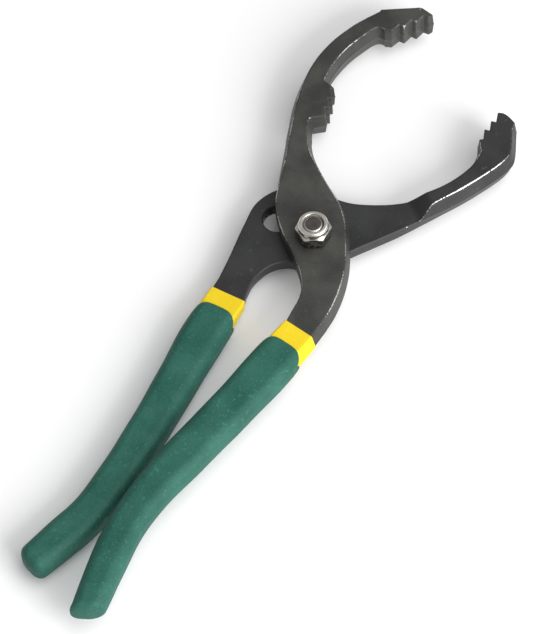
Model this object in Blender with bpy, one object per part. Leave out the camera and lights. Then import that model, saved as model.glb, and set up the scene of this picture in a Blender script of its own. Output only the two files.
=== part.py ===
"""Slip-joint oil filter wrench: two forged arms that cross at a sliding pivot bolt, with dipped grips.

Plan coordinates are millimetres from the pivot bolt's axis: +Y runs towards the jaws, +X to the
rear arm's jaw. Heights are millimetres from the plane where the two arms meet. Everything is
lifted by LAP_PLANE, so the bottom of the bolt head lies at Z = 0.
"""

from math import atan2, cos, hypot, pi, radians, sin, sqrt

import bmesh
import bpy
import numpy as np
from mathutils import Vector

MM = 0.001

# Driving dimensions, in millimetres.
GAP = 0.3                       # clearance between pieces that touch or run on each other
ARM_HALF = 6.0                  # half of a jaw's thickness, and the thickness of one arm at the lap
DRAFT = 1.8                     # how far the forged walls lean in from parting line to outer face
CROTCH_DRAFT = 0.4              # and the steeper walls of the crotch between the handles
GRIP_THICK = 12.0               # a grip, measured across the flat of the tool
SLEEVE_WALL = 0.5               # the yellow first dip
RIM_MARGIN = 1.75               # tang edge to grip surface at the grip's mouth
END_MARGIN = 3.0                # and at its closed end

SLOT_LOBE = 6.0                 # radius of each of the slot's three seats
SLOT_NECK = 4.5                 # half width between the seats
SLOT_POLE = (-28.4, -121.8)     # the slot is curved about this point between the handles
SLOT_SWEEP = radians(8.76)      # from the first seat to the third
SLOT_REACH = hypot(*SLOT_POLE)

SHARP_EDGE = radians(35)        # edges folded further than this shade sharp

SHANK_ROUND = 5.7               # the bolt's shank, round with two flats
SHANK_FLAT = 4.1
THREAD = 4.0                    # M8
HEAD_RADIUS = 9.5
HEAD_HEIGHT = 3.6
WASHER_RADIUS = 11.0
WASHER_THICK = 1.2
NUT_FLATS = 13.0
NUT_HEX = 5.5
NUT_HEIGHT = 8.0
NUT_CORNER = 7.3                # the hexagon's corners are turned down to this radius
NUT_COLLAR = 5.9
COLLAR_ROUND = 1.2              # the collar's rolled top edge
NUT_TURN = radians(31)
INSERT_RADIUS = 5.0
BOLT_END = ARM_HALF + GAP + NUT_HEIGHT - 0.4

LAP_PLANE = ARM_HALF + GAP + WASHER_THICK + GAP + HEAD_HEIGHT

# Ramps where an arm thickens from the lap to the full jaw: (plan direction, start, rise at 45 degrees).
REAR_RAMP = (0.6, 0.8, 43.0)
FRONT_RAMP = (-0.45, 0.893, 47.5)

# Plan outlines: hand-placed points of each smooth edge, from the grip side towards the jaw tip.
FRONT_OUTER = [(9.9, -34.0), (9.3, -28.0), (6.6, -21.6), (-1.0, -13.7), (-12.8, -4.4),
               (-20.9, 4.8), (-26.0, 15.0), (-31.5, 28.5), (-37.0, 42.5), (-42.0, 56.5),
               (-44.6, 73.0), (-43.6, 86.0), (-39.5, 99.4), (-33.0, 111.8)]
FRONT_NOSE = [(-18.2, 120.8), (-12.0, 119.4), (-10.7, 118.3), (-12.6, 116.4)]
FRONT_INNER = [(-25.3, 101.6), (-28.0, 101.4), (-31.2, 94.5), (-33.7, 85.5), (-34.5, 76.5),
               (-33.9, 68.6)]
FRONT_NECK = [(-28.6, 48.4), (-26.4, 43.5), (-21.1, 36.1), (-11.5, 28.5), (1.0, 20.4),
              (8.6, 13.1), (14.4, 4.2), (19.6, -5.4), (23.2, -15.6), (25.1, -26.0), (25.4, -34.0)]
REAR_OUTER = [(-11.6, -33.0), (-12.3, -27.0), (-9.8, -17.9), (-4.5, -12.8), (2.0, -11.2),
              (8.8, -6.6), (14.7, 3.4), (23.0, 16.0), (32.2, 30.2), (41.9, 46.6),
              (49.3, 63.2), (51.0, 69.0), (51.2, 73.0), (44.8, 87.2)]
REAR_NOSE = [(44.8, 87.2), (39.8, 89.2), (37.0, 89.4), (35.3, 88.2)]
REAR_INNER = [(36.7, 68.6), (37.2, 64.5), (36.9, 59.5), (33.5, 49.9), (28.0, 41.2),
              (20.5, 33.6), (12.1, 28.1), (2.8, 24.0), (-6.0, 22.6), (-17.0, 20.6),
              (-26.1, 15.1), (-30.3, 5.5), (-29.3, -6.0), (-26.4, -23.0), (-25.0, -33.0)]

# Jaw teeth: first tip, step from tip to tip, short face from tip to root, and how many.
FRONT_TIP_TEETH = ((-12.6, 116.4), (-3.33, -4.43), (-2.4, 0.0), 4)
FRONT_BLOCK_TEETH = ((-28.5, 66.4), (1.37, -4.63), (-1.75, -1.1), 4)
REAR_TEETH = ((34.4, 73.3), (0.27, 4.97), (2.1, 0.5), 4)

# Grips: plan centre and green width of each station. The yellow starts at the first and the green
# at the second.
FRONT_GRIP = [(17.7, -41.0, 18.2), (16.6, -49.5, 18.2), (14.8, -64.0, 18.0),
              (11.4, -86.0, 17.3), (7.0, -111.0, 16.4), (3.9, -133.0, 14.9),
              (3.9, -150.0, 14.2), (6.4, -167.0, 13.6), (9.6, -183.0, 12.4)]
REAR_GRIP = [(-17.6, -37.5, 18.0), (-17.4, -45.0, 18.0), (-16.9, -60.0, 17.9),
             (-15.0, -83.0, 16.8), (-13.4, -105.0, 15.8), (-12.7, -128.0, 15.6),
             (-13.8, -148.0, 15.0), (-17.6, -163.0, 14.6), (-20.6, -174.0, 13.6)]
GRIP_STEPS = 2                  # path points to each span between stations
TANG_STOPS = 2                  # the tang ends this many path points before the grip does
GRIP_CORNER = 4.6               # corner radius of a grip's section
GRIP_NOSE = ((2.6, 0.82), (4.2, 0.5))   # a grip's rounded end: distance past the last station, scale
FRONT_TANG = (ARM_HALF + GAP / 2) / 2   # height of the middle of each tang
REAR_TANG = -FRONT_TANG


# ---------------------------------------------------------------- curves

def smooth(points, per_span=4):
    """Centripetal Catmull-Rom curve through the points, as a list."""
    p = np.array(points, float)
    p = np.vstack([2 * p[0] - p[1], p, 2 * p[-1] - p[-2]])
    out = []
    for a, b, c, d in zip(p, p[1:], p[2:], p[3:]):
        knots = np.cumsum([0.0] + [sqrt(np.linalg.norm(q - r)) for q, r in ((b, a), (c, b), (d, c))])
        for t in np.linspace(knots[1], knots[2], per_span, endpoint=False):
            ab = blend(a, b, knots[0], knots[1], t)
            bc = blend(b, c, knots[1], knots[2], t)
            cd = blend(c, d, knots[2], knots[3], t)
            out.append(blend(blend(ab, bc, knots[0], knots[2], t),
                             blend(bc, cd, knots[1], knots[3], t), knots[1], knots[2], t))
    out.append(p[-2])
    return out


def blend(a, b, start, end, t):
    """The point at t on the line that is a at start and b at end."""
    return a + (b - a) * (t - start) / (end - start)


def teeth(first, step, face, count):
    """Tips and roots of a row of saw teeth, ending on the last tip."""
    points = []
    for k in range(count):
        tip = np.add(first, np.multiply(step, k))
        points.append(tip)
        if k < count - 1:
            points.append(np.add(tip, face))
    return points


def centreline(stations):
    """Smooth plan path of a grip with its width: (x, y, width) rows, and the unit direction across it."""
    path = np.array(smooth(stations, GRIP_STEPS))
    along = np.gradient(path[:, :2], axis=0)
    along /= np.linalg.norm(along, axis=1)[:, None]
    return path, np.stack([-along[:, 1], along[:, 0]], axis=1)


def margins(path):
    """Distance from the grip's side to the tang's, growing from the mouth to the closed end."""
    return np.linspace(RIM_MARGIN, END_MARGIN, len(path))


def tang_sides(stations):
    """The tang inside a grip: its +X side mouth to end, the round end, and its -X side end to mouth."""
    path, across = centreline(stations)
    half = (path[:, 2] / 2 - margins(path))[:, None]
    plus = (path[:, :2] + across * half)[:-TANG_STOPS]
    minus = (path[:, :2] - across * half)[:-TANG_STOPS]
    middle = (plus[-1] + minus[-1]) / 2
    radius = hypot(*(plus[-1] - middle))
    turn = atan2(*(plus[-1] - middle)[::-1])
    tip = [middle + radius * np.array([cos(turn - a), sin(turn - a)]) for a in np.linspace(0, pi, 7)[1:-1]]
    return list(plus), tip, list(minus[::-1])


def inset(points, amounts):
    """The closed outline moved inwards by each point's amount; the outline runs clockwise."""
    p = np.array(points)
    before = p - np.roll(p, 1, axis=0)
    after = np.roll(p, -1, axis=0) - p
    before /= np.linalg.norm(before, axis=1)[:, None]
    after /= np.linalg.norm(after, axis=1)[:, None]
    inward = np.stack([before[:, 1] + after[:, 1], -before[:, 0] - after[:, 0]], axis=1) / 2
    return p + inward / np.maximum((inward ** 2).sum(axis=1), 0.5)[:, None] * np.array(amounts)[:, None]


def slot_outline():
    """Three round seats joined by a neck, along an arc about SLOT_POLE; u runs along, v across."""
    pitch = SLOT_REACH * SLOT_SWEEP / 2
    u = np.linspace(-SLOT_LOBE, 2 * pitch + SLOT_LOBE, 61)
    seats = [np.sqrt(np.maximum(SLOT_LOBE ** 2 - (u - k * pitch) ** 2, 0)) for k in range(3)]
    neck = np.where((u >= 0) & (u <= 2 * pitch), SLOT_NECK, 0)
    v = np.maximum.reduce(seats + [neck])
    u = np.concatenate([u, u[-2:0:-1]])
    v = np.concatenate([v, -v[-2:0:-1]])
    angle = atan2(-SLOT_POLE[1], -SLOT_POLE[0]) + u / SLOT_REACH
    radius = SLOT_REACH + v
    return [(SLOT_POLE[0] + r * cos(a), SLOT_POLE[1] + r * sin(a)) for r, a in zip(radius, angle)]


def shank_outline(grow=0.0):
    """Round with two flats, the flats lying along the slot."""
    turn = atan2(-SLOT_POLE[1], -SLOT_POLE[0]) + pi / 2
    a = np.linspace(0, 2 * pi, 40, endpoint=False)
    u = (SHANK_ROUND + grow) * np.cos(a)
    v = np.clip((SHANK_ROUND + grow) * np.sin(a), -SHANK_FLAT - grow, SHANK_FLAT + grow)
    return np.stack([u * cos(turn) - v * sin(turn), u * sin(turn) + v * cos(turn)], axis=1)


# ---------------------------------------------------------------- solids

def material(name, colour, roughness, metallic):
    made = bpy.data.materials.new(name)
    made.use_nodes = True
    shader = made.node_tree.nodes["Principled BSDF"]
    shader.inputs["Base Color"].default_value = (*colour, 1)
    shader.inputs["Roughness"].default_value = roughness
    shader.inputs["Metallic"].default_value = metallic
    return made


def finished(name, bm, look=None):
    """The bmesh, in millimetres, as an object at the pivot, in metres and lifted to its height."""
    bmesh.ops.remove_doubles(bm, verts=bm.verts, dist=1e-5)
    bmesh.ops.recalc_face_normals(bm, faces=bm.faces)
    bmesh.ops.scale(bm, vec=Vector((MM, MM, MM)), verts=bm.verts)
    mesh = bpy.data.meshes.new(name)
    bm.to_mesh(mesh)
    bm.free()
    mesh.shade_smooth()
    mesh.set_sharp_from_angle(angle=SHARP_EDGE)
    made = bpy.data.objects.new(name, mesh)
    made.location.z = LAP_PLANE * MM
    bpy.context.scene.collection.objects.link(made)
    if look:
        mesh.materials.append(look)
    return made


def stacked(rings):
    """A solid through rings of equal length, each a list of (x, y, z), capped at both ends."""
    bm = bmesh.new()
    made = [[bm.verts.new(p) for p in ring] for ring in rings]
    for low, high in zip(made, made[1:]):
        for k in range(len(low)):
            n = (k + 1) % len(low)
            bm.faces.new((low[k], low[n], high[n], high[k]))
    bm.faces.new(made[0])
    bm.faces.new(made[-1])
    return bm


def at_height(outline, z):
    return [(x, y, z) for x, y in outline]


def prism(outline, low, high):
    return stacked([at_height(outline, low), at_height(outline, high)])


def turned(profile, closed, segments=32):
    """A profile of (radius, height) spun about the bolt's axis."""
    bm = bmesh.new()
    verts = [bm.verts.new((r, 0, z)) for r, z in profile]
    pairs = list(zip(verts, verts[1:]))
    if closed:
        pairs.append((verts[-1], verts[0]))
    edges = [bm.edges.new(pair) for pair in pairs]
    bmesh.ops.spin(bm, geom=verts + edges, axis=(0, 0, 1), cent=(0, 0, 0), angle=2 * pi,
                   steps=segments, use_merge=True)
    return bm


def cut(solid, bm, operation="DIFFERENCE"):
    """Boolean with a hidden cutter."""
    cutter = finished(f"{solid.name}.cutter{len(solid.modifiers)}", bm)
    cutter.location.z = 0
    cutter.parent = solid
    cutter.hide_render = True
    cutter.display_type = "WIRE"
    step = solid.modifiers.new(cutter.name, "BOOLEAN")
    step.operation = operation
    step.object = cutter
    step.solver = "EXACT"


def lap_cutter(ramp, side):
    """Everything on one side of the lap plane, as far as the ramp that leads to the full jaw."""
    ux, uy, start = ramp
    far = 260.0     # past the handle's end
    wide = 150.0    # past the arm's sides
    over = 2.0      # past the arm's face
    low = -side * GAP / 2
    high = side * (ARM_HALF + over)
    rise = abs(high - low)
    outline = [(-far, low), (start, low), (start + rise, high), (-far, high)]
    rings = []
    for w in (-wide, wide):
        rings.append([(s * ux - w * uy, s * uy + w * ux, z) for s, z in outline])
    return stacked(rings)


# ---------------------------------------------------------------- pieces

def steepening(points, turn):
    """A smooth edge's drafts: CROTCH_DRAFT up to the share turn of its points, DRAFT after it."""
    share = np.linspace(0, 1, len(points))
    spread = 0.1
    return list(np.interp(share, [turn - spread / 2, turn + spread / 2], [CROTCH_DRAFT, DRAFT]))


def forged_arm(name, edges, look):
    """A forging from (points, draft) edges: widest on the lap plane, leaning in above and below.
    An edge's draft is one value or a list with one for each point."""
    points = [p for edge, _ in edges for p in edge]
    amounts = []
    for edge, draft in edges:
        amounts += draft if isinstance(draft, list) else [draft] * len(edge)
    x, y = np.array(points).T
    if (x * np.roll(y, -1) - y * np.roll(x, -1)).sum() > 0:
        points.reverse()
        amounts.reverse()
    face = inset(points, amounts)
    rings = [at_height(face, -ARM_HALF), at_height(points, 0), at_height(face, ARM_HALF)]
    return finished(name, stacked(rings), look)


def front_arm(look):
    """The upper arm: left-hand jaw, keyed bolt hole, right-hand tang."""
    plus, tip, minus = tang_sides(FRONT_GRIP)
    outer = smooth(FRONT_OUTER)
    arm = forged_arm("front_arm", [
        (outer, steepening(outer, 0.46)),
        (smooth(FRONT_NOSE)[:-1], DRAFT / 4),
        (teeth(*FRONT_TIP_TEETH), 0),
        (smooth(FRONT_INNER), DRAFT / 2),
        (teeth(*FRONT_BLOCK_TEETH), 0),
        (smooth(FRONT_NECK), DRAFT),
        (plus, DRAFT),
        (tip, DRAFT / 2),
        (minus, CROTCH_DRAFT),
    ], look)
    cut(arm, lap_cutter(FRONT_RAMP, -1))
    cut(arm, prism(shank_outline(GAP), -ARM_HALF, 2 * ARM_HALF))
    return arm


def rear_arm(look):
    """The lower arm: right-hand jaw, three-seat slot, left-hand tang."""
    plus, tip, minus = tang_sides(REAR_GRIP)
    outer = smooth(REAR_OUTER)[:-1]
    arm = forged_arm("rear_arm", [
        (plus[::-1], CROTCH_DRAFT),
        (outer, steepening(outer, 0.62)),
        (smooth(REAR_NOSE)[:-1], DRAFT / 4),
        (teeth(*REAR_TEETH)[::-1], 0),
        (smooth(REAR_INNER), DRAFT),
        (minus[::-1], DRAFT / 2),
        (tip[::-1], DRAFT / 2),
    ], look)
    cut(arm, lap_cutter(REAR_RAMP, 1))
    cut(arm, prism(slot_outline(), -2 * ARM_HALF, ARM_HALF))
    return arm


def pivot_bolt(look):
    """Low round head, shank with two flats that fills both arms, and an M8 end."""
    top = -ARM_HALF - 2 * GAP - WASHER_THICK
    bottom = -LAP_PLANE
    chamfer = 1.2
    point = 0.8     # chamfer of the threaded end
    bolt = finished("pivot_bolt", turned([
        (0, bottom),
        (HEAD_RADIUS - chamfer, bottom),
        (HEAD_RADIUS, bottom + chamfer),
        (HEAD_RADIUS, top),
        (THREAD, top),
        (THREAD, BOLT_END - point),
        (THREAD - point, BOLT_END),
        (0, BOLT_END),
    ], closed=False), look)
    cut(bolt, prism(shank_outline(), top - 1.0, ARM_HALF - GAP), "UNION")
    return bolt


def lock_nut(look):
    """Hexagon nut with a rolled collar on top, bored to clear the thread and the insert."""
    low = ARM_HALF + GAP
    hex_top = low + NUT_HEX
    top = low + NUT_HEIGHT
    bore = THREAD + GAP
    seat = (0.3, 0.7)       # chamfer round the bearing face
    shoulder = 0.9          # height of the slope from the corners up to the collar
    lip = 0.4               # the collar's edge over the insert
    nut = finished("lock_nut", turned([
        (NUT_FLATS / 2 - seat[0], low),
        (NUT_CORNER, low + seat[1]),
        (NUT_CORNER, hex_top - shoulder),
        (NUT_COLLAR, hex_top),
        (NUT_COLLAR, top - COLLAR_ROUND),
        (NUT_COLLAR - lip, top - lip),
        (INSERT_RADIUS, top),
        (INSERT_RADIUS - lip, top - GAP / 2),
        (INSERT_RADIUS + GAP, top - 0.3),
        (INSERT_RADIUS + GAP, hex_top - GAP),
        (bore, hex_top - GAP),
        (bore, low),
    ], closed=True, segments=48), look)
    across = NUT_FLATS / sqrt(3)
    hexagon = [(across * cos(radians(a)), across * sin(radians(a))) for a in range(0, 360, 60)]
    cut(nut, prism(turn_points(hexagon, NUT_TURN), low - 1, top + 1), "INTERSECT")
    return nut


def turn_points(points, angle):
    """Plan points turned about the bolt's axis."""
    return [(x * cos(angle) - y * sin(angle), x * sin(angle) + y * cos(angle)) for x, y in points]


def nut_insert(look):
    """Nylon ring held under the collar, gripping the thread."""
    low = ARM_HALF + GAP + NUT_HEX
    high = low + NUT_HEIGHT - NUT_HEX - 2 * GAP
    return finished("nut_insert", turned([
        (THREAD + GAP, low),
        (INSERT_RADIUS, low),
        (INSERT_RADIUS, high),
        (THREAD + GAP, high),
    ], closed=True), look)


def wear_washer(look):
    """Flat ring between the bolt head and the rear arm, wide enough to bridge the slot."""
    top = -ARM_HALF - GAP
    hole = SHANK_ROUND + GAP
    return finished("wear_washer", turned([
        (hole, top),
        (hole, top - WASHER_THICK),
        (WASHER_RADIUS, top - WASHER_THICK),
        (WASHER_RADIUS, top),
    ], closed=True, segments=40), look)


def section(middle, across, half_wide, half_thick, height, corner):
    """Rounded rectangle across a grip, as 16 points round it."""
    largest = 0.9           # share of the half size that a corner's radius may take
    corner = min(corner, half_wide * largest, half_thick * largest)
    ring = []
    for k, (sx, sz) in enumerate(((1, 1), (-1, 1), (-1, -1), (1, -1))):
        for a in np.linspace(k, k + 1, 4) * pi / 2:
            u = sx * (half_wide - corner) + corner * cos(a)
            v = sz * (half_thick - corner) + corner * sin(a)
            ring.append((middle[0] + across[0] * u, middle[1] + across[1] * u, height + v))
    return ring


def wall(stations, first, last, beyond_tang, nose=()):
    """Rings of one surface of a grip, mouth to end; beyond_tang None means the grip's own outside."""
    path, across = centreline(stations)
    reach = margins(path)
    height = FRONT_TANG if stations is FRONT_GRIP else REAR_TANG
    half_thick = GRIP_THICK / 2
    corner = GRIP_CORNER
    if beyond_tang is not None:
        half_thick = FRONT_TANG - GAP / 2 + beyond_tang
        corner = beyond_tang
    rings = []
    for k in range(first, len(path) + last):
        half = path[k, 2] / 2
        if beyond_tang is not None:
            half += beyond_tang - reach[k]
        rings.append(section(path[k], across[k], half, half_thick, height, corner))
    along = np.array([across[k][1], -across[k][0]])
    for distance, scale in nose:
        middle = path[k, :2] + along * distance
        rings.append(section(middle, across[k], half * scale, half_thick * scale, height, corner * scale))
    return rings


def under_layer(name, stations, look):
    """The yellow first dip: a thin cup over the tang, open at the collar."""
    inner = wall(stations, 0, -1, GAP)
    outer = wall(stations, 0, -1, GAP + SLEEVE_WALL, [(1.0, 1.0)])
    return finished(name, stacked(inner[::-1] + outer), look)


def grip(name, stations, look):
    """The green second dip: a thick cup over the yellow, from the second station on."""
    inner = wall(stations, GRIP_STEPS, -1, 2 * GAP + SLEEVE_WALL, [(2.0, 1.0)])
    outer = wall(stations, GRIP_STEPS, 0, None, GRIP_NOSE)
    return finished(name, stacked(inner[::-1] + outer), look)


def empty(name, x, y, parent=None):
    """A joint's axis: an empty at (x, y) on the lap plane."""
    made = bpy.data.objects.new(name, None)
    made.location = (x * MM, y * MM, LAP_PLANE * MM)
    bpy.context.scene.collection.objects.link(made)
    if parent:
        hang(made, parent)
    return made


def hang(child, parent):
    """Parents without moving: neither object is turned or scaled."""
    child.location -= world_place(parent)
    child.parent = parent


def world_place(thing):
    place = thing.location.copy()
    return place + world_place(thing.parent) if thing.parent else place


# ---------------------------------------------------------------- the wrench

for old in list(bpy.data.objects):
    bpy.data.objects.remove(old, do_unlink=True)

black_steel = material("black_oxide_steel", (0.055, 0.055, 0.052), 0.45, 0.6)
bolt_steel = material("dark_bolt_steel", (0.12, 0.11, 0.11), 0.4, 0.9)
plated_steel = material("bright_plated_steel", (0.78, 0.76, 0.72), 0.22, 1.0)
nylon = material("nylon", (0.62, 0.62, 0.58), 0.5, 0.0)
yellow_vinyl = material("yellow_vinyl", (0.9, 0.68, 0.02), 0.45, 0.0)
green_vinyl = material("green_vinyl", (0.02, 0.14, 0.09), 0.6, 0.0)

rear_arm(black_steel)
under_layer("rear_grip_underlayer", REAR_GRIP, yellow_vinyl)
grip("rear_grip", REAR_GRIP, green_vinyl)

slip_axis = empty("slip_axis", *SLOT_POLE)
pivot_axis = empty("pivot_axis", 0, 0, slip_axis)
hang(wear_washer(plated_steel), slip_axis)
for piece in (
    front_arm(black_steel),
    pivot_bolt(bolt_steel),
    lock_nut(plated_steel),
    nut_insert(nylon),
    under_layer("front_grip_underlayer", FRONT_GRIP, yellow_vinyl),
    grip("front_grip", FRONT_GRIP, green_vinyl),
):
    hang(piece, pivot_axis)
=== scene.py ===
"""Slip-joint oil filter wrench: the finished surfaces and materials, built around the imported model.

Plan coordinates are millimetres from the pivot bolt's axis, +Y towards the jaws. Heights are
millimetres from the lap plane, where the two arms meet.
"""

from math import atan2, cos, hypot, pi, radians, sin

import bpy
import numpy as np
from mathutils import Matrix, Vector
from mathutils.geometry import delaunay_2d_cdt


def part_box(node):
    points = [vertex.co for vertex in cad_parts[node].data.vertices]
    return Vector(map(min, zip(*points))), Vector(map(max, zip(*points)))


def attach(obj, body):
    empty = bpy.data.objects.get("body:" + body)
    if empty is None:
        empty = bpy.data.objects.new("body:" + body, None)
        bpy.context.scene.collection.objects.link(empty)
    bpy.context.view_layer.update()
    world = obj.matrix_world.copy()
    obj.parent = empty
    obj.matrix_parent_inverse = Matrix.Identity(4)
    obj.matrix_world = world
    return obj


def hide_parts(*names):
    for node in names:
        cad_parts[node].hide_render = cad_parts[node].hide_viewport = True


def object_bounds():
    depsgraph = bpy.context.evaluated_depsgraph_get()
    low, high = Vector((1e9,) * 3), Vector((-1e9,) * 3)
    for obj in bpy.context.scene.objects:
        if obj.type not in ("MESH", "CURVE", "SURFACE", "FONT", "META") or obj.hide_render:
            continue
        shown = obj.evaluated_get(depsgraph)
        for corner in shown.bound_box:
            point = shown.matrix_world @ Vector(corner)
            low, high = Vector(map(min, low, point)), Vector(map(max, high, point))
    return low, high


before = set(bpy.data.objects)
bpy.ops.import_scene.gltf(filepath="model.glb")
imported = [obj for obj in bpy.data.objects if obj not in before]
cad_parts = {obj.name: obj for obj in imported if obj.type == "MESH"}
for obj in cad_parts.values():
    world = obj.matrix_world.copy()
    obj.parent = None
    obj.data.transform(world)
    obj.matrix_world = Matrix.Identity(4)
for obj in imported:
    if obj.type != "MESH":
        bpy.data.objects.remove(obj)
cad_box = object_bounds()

# ------------------------------------------------------------------ rear arm
# The lower arm, with the right-hand jaw and the left-hand handle. A drop forging of medium-carbon
# steel, trimmed along its parting line, milled to half thickness where the arms cross, slotted for
# the sliding bolt, hardened and blackened in hot oxide.

MM = 0.001
ARM_LOW, ARM_HIGH = (corner[2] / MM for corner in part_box("front_arm"))
LAP = (ARM_LOW + ARM_HIGH) / 2          # height of the lap plane above the table
HALF = (ARM_HIGH - ARM_LOW) / 2         # half of a jaw's thickness
GAP = 0.3                               # running clearance between the arms
DRAFT = 1.8                             # lean of the forged walls from parting line to face
CROTCH_DRAFT = 0.4                      # and of the steeper walls between the handles
EDGE = 0.45                             # radius where a wall meets a face
BAND = 0.5                              # width of the strip of face beside that radius
FLASH = 0.08                            # how far the trimmed parting line stands proud
TOOTH_CORNER = 0.4                      # how far a tooth's corners are worn back
TIP_RUB = 0.85                          # how much its coating has worn
SEAT_CHAMFER = 0.45                     # chamfer round the slot and the bolt hole
SEAM_FOOT = 0.42                        # half width of the trimmed parting line at its foot
SEAM_CREST = 0.2                        # and at its crest
FOOT_EASE = 1.4                         # rounding of the slope's foot, to either side of it
SHOULDER_EASE = 0.8                     # and of its shoulder
SHOULDER_RUB = 0.6                      # how much the shoulder's coating has worn
WALL_STEP = 1.1                         # spacing of a wall's points along the outline
CORNER_POINTS = 5                       # and their number round a corner
FACE_STEP = 2.5                         # spacing of the points spread over a face
SLOPE_STEP = (0.5, 1.6)                 # and over the slope: up it and across it

REAR_OUTER = [(-11.6, -33.0), (-12.3, -27.0), (-9.8, -17.9), (-4.5, -12.8), (2.0, -11.2),
              (8.8, -6.6), (14.7, 3.4), (23.0, 16.0), (32.2, 30.2), (41.9, 46.6),
              (49.3, 63.2), (51.0, 69.0), (51.2, 73.0), (44.8, 87.2)]
REAR_NOSE = [(44.8, 87.2), (39.8, 89.2), (37.0, 89.4), (35.3, 88.2)]
REAR_INNER = [(36.7, 68.6), (37.2, 64.5), (36.9, 59.5), (33.5, 49.9), (28.0, 41.2),
              (20.5, 33.6), (12.1, 28.1), (2.8, 24.0), (-6.0, 22.6), (-17.0, 20.6),
              (-26.1, 15.1), (-30.3, 5.5), (-29.3, -6.0), (-26.4, -23.0), (-25.0, -33.0)]
REAR_TEETH = ((34.4, 73.3), (0.27, 4.97), (2.1, 0.5), 4)
REAR_RAMP = (0.6, 0.8, 43.0)            # direction in plan and start of the slope up to the jaw

# Handle stations: centre of the handle in plan and the width of the green dip there.
REAR_GRIP = [(-17.6, -37.5, 18.0), (-17.4, -45.0, 18.0), (-16.9, -60.0, 17.9),
             (-15.0, -83.0, 16.8), (-13.4, -105.0, 15.8), (-12.7, -128.0, 15.6),
             (-13.8, -148.0, 15.0), (-17.6, -163.0, 14.6), (-20.6, -174.0, 13.6)]
RIM_MARGIN = 1.75                       # from the tang's edge to the green surface at the mouth
END_MARGIN = 3.0                        # and at the closed end

SLOT_SEAT = 6.0                         # radius of each of the slot's three seats
SLOT_NECK = 4.5                         # half width between them
SLOT_POLE = (-28.4, -121.8)             # the slot is curved about this point
SLOT_REACH = hypot(*SLOT_POLE)
SLOT_LENGTH = SLOT_REACH * radians(8.76)


def smooth(points, per_span):
    """Centripetal Catmull-Rom curve: each span blends three straight lines pairwise, twice."""
    p = np.array(points, float)
    p = np.vstack([2 * p[0] - p[1], p, 2 * p[-1] - p[-2]])
    a, b, c, d = (p[k:len(p) - 3 + k, None] for k in range(4))
    zero = np.zeros(a.shape[:2] + (1,))
    one = zero + np.sqrt(np.linalg.norm(b - a, axis=2, keepdims=True))
    two = one + np.sqrt(np.linalg.norm(c - b, axis=2, keepdims=True))
    three = two + np.sqrt(np.linalg.norm(d - c, axis=2, keepdims=True))
    t = one + (two - one) * np.linspace(0, 1, per_span, endpoint=False)[None, :, None]

    def line(p, q, start, end):
        return p + (q - p) * (t - start) / (end - start)

    first = line(line(a, b, zero, one), line(b, c, one, two), zero, two)
    last = line(line(b, c, one, two), line(c, d, two, three), one, three)
    curve = line(first, last, one, two)
    return np.vstack([curve.reshape(-1, p.shape[1]), p[-2]])


def teeth(first, step, face, count):
    """Tips at first + k * step, each but the last followed by its root at tip + face."""
    tips = np.array(first) + np.arange(count)[:, None] * np.array(step)
    roots = tips + np.array(face)
    return np.stack([tips, roots], axis=1).reshape(-1, 2)[:-1]


def handle_line(stations, per_span=8):
    """Smooth plan path of a handle with its width, the unit direction across it, and its margins."""
    path = smooth(stations, per_span)
    along = np.gradient(path[:, :2], axis=0)
    along /= np.linalg.norm(along, axis=1)[:, None]
    across = np.stack([-along[:, 1], along[:, 0]], axis=1)
    return path, across, np.linspace(RIM_MARGIN, END_MARGIN, len(path))


def tang(stations, per_span=8):
    """The steel inside a handle: its +X side mouth to end, its half round end, its -X side back."""
    path, across, margin = handle_line(stations, per_span)
    half = (path[:, 2] / 2 - margin)[:, None]
    plus = (path[:, :2] + across * half)[:-per_span]
    minus = (path[:, :2] - across * half)[:-per_span]
    middle = (plus[-1] + minus[-1]) / 2
    radius = hypot(*(plus[-1] - middle))
    turn = atan2(*(plus[-1] - middle)[::-1]) - np.linspace(0, pi, 13)[1:-1]
    tip = middle + radius * np.stack([np.cos(turn), np.sin(turn)], axis=1)
    return plus, tip, minus[::-1]


def inset(points, amounts):
    """A clockwise outline moved inwards, each corner along its mitre, less far where it's sharp."""
    sharpest = 0.3
    before = points - np.roll(points, 1, axis=0)
    after = np.roll(before, -1, axis=0)
    before = before / np.linalg.norm(before, axis=1)[:, None]
    after = after / np.linalg.norm(after, axis=1)[:, None]
    inward = np.stack([before[:, 1] + after[:, 1], -before[:, 0] - after[:, 0]], axis=1) / 2
    return points + inward / np.maximum((inward ** 2).sum(axis=1), sharpest)[:, None] * amounts[:, None]


def corner_plan(points, corners):
    """Where samples lie on a closed outline, as arrays of corner, t and straight. t runs from 0 to 1
    round a corner's parabola, or where straight is true along the straight that follows it, so every
    row of a wall has the same samples however far it's moved in."""
    lengths = np.linalg.norm(np.roll(points, -1, axis=0) - points, axis=1)
    round_count = np.where(corners > 0, CORNER_POINTS, 1)
    straight_count = np.ceil(lengths / WALL_STEP).astype(int) - 1
    count = round_count + straight_count
    k = np.repeat(np.arange(len(points)), count)
    place = np.arange(count.sum()) - np.repeat(np.cumsum(count) - count, count)
    straight = place >= round_count[k]
    round_t = np.where(corners[k] > 0, place / (CORNER_POINTS - 1), 0.5)
    straight_t = (place - round_count[k] + 1) / (straight_count[k] + 1)
    return k, np.where(straight, straight_t, round_t), straight


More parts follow.
